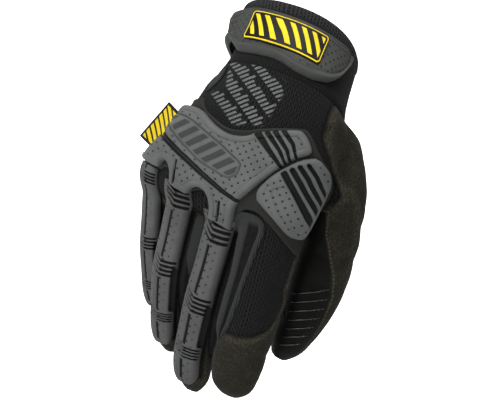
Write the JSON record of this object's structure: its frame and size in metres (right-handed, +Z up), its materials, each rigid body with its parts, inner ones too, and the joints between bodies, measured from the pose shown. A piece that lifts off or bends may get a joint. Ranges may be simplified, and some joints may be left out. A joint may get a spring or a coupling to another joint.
{
  "type": "padded mechanic work glove",
  "caption": "Padded work glove for the right hand, as worn with the fingers down: suede palm, knit back, moulded knuckle and finger guards, strapped cuff.",
  "frame": {"origin": "centre of the wrist opening, in the plane of the cuff's rim", "axes": "+Z up along the hand from the fingers to the wrist, -Y the back of the hand, +X the thumb side"},
  "size_m": [0.1525, 0.0828, 0.2454],
  "materials": {
    "suede": "matt brown-black suede",
    "knit": "ribbed black stretch knit",
    "stretch_side": "smooth dark grey stretch cloth",
    "strap_rubber": "satin moulded charcoal, dotted",
    "flange_rubber": "satin dark olive grey",
    "guard_rubber": "matt light grey moulding, dotted",
    "grip_rubber": "glossy dark rubber",
    "badge": "satin yellow and black",
    "tab_cloth": "woven tab, yellow and black"
  },
  "bodies": {
    "root": {"palm_leather": "suede", "thumb_leather": "suede", "back_knit": "knit", "fourchette_index_middle": "stretch_side", "fourchette_middle_ring": "stretch_side", "fourchette_ring_pinky": "stretch_side", "cuff_band": "knit", "cuff_strap": "strap_rubber", "strap_badge": "badge", "guard_base": "flange_rubber", "knuckle_guard": "guard_rubber", "side_guard": "guard_rubber", "finger_guard_middle": "guard_rubber", "finger_guard_ring": "guard_rubber", "finger_guard_pinky": "guard_rubber", "thumb_grip_1": "grip_rubber", "thumb_grip_2": "grip_rubber", "thumb_grip_3": "grip_rubber", "thumb_grip_4": "grip_rubber", "thumb_grip_5": "grip_rubber", "thumb_grip_6": "grip_rubber", "thumb_grip_7": "grip_rubber", "side_tab": "tab_cloth"}
  },
  "joints": []
}
